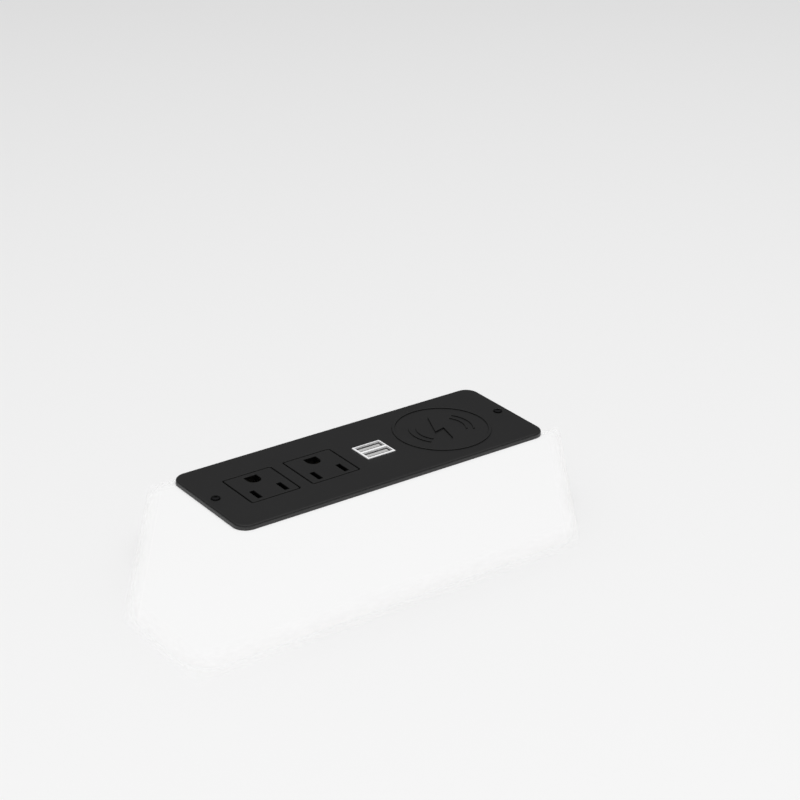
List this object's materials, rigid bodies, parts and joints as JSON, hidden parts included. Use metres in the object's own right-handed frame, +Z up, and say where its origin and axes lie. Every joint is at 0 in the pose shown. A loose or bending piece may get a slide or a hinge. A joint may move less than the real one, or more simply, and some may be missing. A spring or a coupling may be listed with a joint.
{
  "type": "desk power strip",
  "caption": "Flush in-desk power strip: long black faceplate with shuttered earthed outlets, framed USB-A ports and a wireless charging ring, over a box housing.",
  "frame": {"origin": "middle of the faceplate's underside, on the desk's top surface, midway between the two desk screws", "axes": "+X along the plate towards the charging ring, +Y towards the earth holes, +Z up out of the desk"},
  "size_m": [0.1522, 0.0544, 0.041],
  "materials": {
    "black_plastic": "fine satin texture",
    "insert_plastic": "fine satin texture",
    "case_plastic": "moulded, light texture",
    "shutter_plastic": "smooth",
    "block_plastic": "smooth",
    "tray_plastic": "smooth",
    "terminal_plastic": "smooth",
    "black_screw": "black oxide",
    "zinc_screw": "zinc plated",
    "spring_steel": "bright wire",
    "contact_brass": "stamped strip",
    "usb_rim": "satin silver grey",
    "usb_steel": "bright tin plate",
    "tongue_plastic": "smooth white",
    "blade_gold": "gold flash",
    "board": "green solder mask",
    "ferrite": "sintered",
    "copper": "enamelled copper winding",
    "component_black": "moulded epoxy",
    "can_sleeve": "shrink sleeve",
    "transformer_tape": "yellow tape",
    "gland_nylon": "nylon",
    "lead_black": "insulated wire",
    "lead_white": "insulated wire",
    "lead_green": "insulated wire"
  },
  "bodies": {
    "strip": {"face_plate": "black_plastic", "housing": "case_plastic", "desk_screws": "black_screw", "housing_screws": "zinc_screw", "cable_gland": "gland_nylon", "line_contacts": "contact_brass", "neutral_contacts": "contact_brass", "earth_contacts": "contact_brass", "usb_bezel": "usb_rim", "charger_board": "board", "transformer": "transformer_tape", "input_capacitor": "can_sleeve", "output_capacitor": "can_sleeve", "controller_chip": "component_black", "coil_tray": "tray_plastic", "ferrite_sheet": "ferrite", "charging_coil": "copper", "coil_board": "board", "coil_chips": "component_black", "terminal_block": "terminal_plastic", "terminal_screws": "zinc_screw", "line_lead": "lead_black", "neutral_lead": "lead_white", "earth_lead": "lead_green", "outlet_insert_left": "insert_plastic", "outlet_block_left": "block_plastic", "shutter_spring_left": "spring_steel", "outlet_insert_right": "insert_plastic", "outlet_block_right": "block_plastic", "shutter_spring_right": "spring_steel", "usb_shell_upper": "usb_steel", "usb_tongue_upper": "tongue_plastic", "usb_blades_upper": "blade_gold", "usb_shell_lower": "usb_steel", "usb_tongue_lower": "tongue_plastic", "usb_blades_lower": "blade_gold"},
    "shutter_left": {"shutter_left": "shutter_plastic"},
    "shutter_right": {"shutter_right": "shutter_plastic"}
  },
  "joints": [
    {"name": "shutter_slide_left", "type": "slide", "parent": "strip", "child": "shutter_left", "axis": [1, 0, 0], "range_m": [0, 0.0028], "stiffness_N_per_m": 40, "springref_m": -0.0015, "deforming": ["shutter_spring_left"]},
    {"name": "shutter_slide_right", "type": "slide", "parent": "strip", "child": "shutter_right", "axis": [1, 0, 0], "range_m": [0, 0.0028], "stiffness_N_per_m": 40, "springref_m": -0.0015, "deforming": ["shutter_spring_right"]}
  ]
}
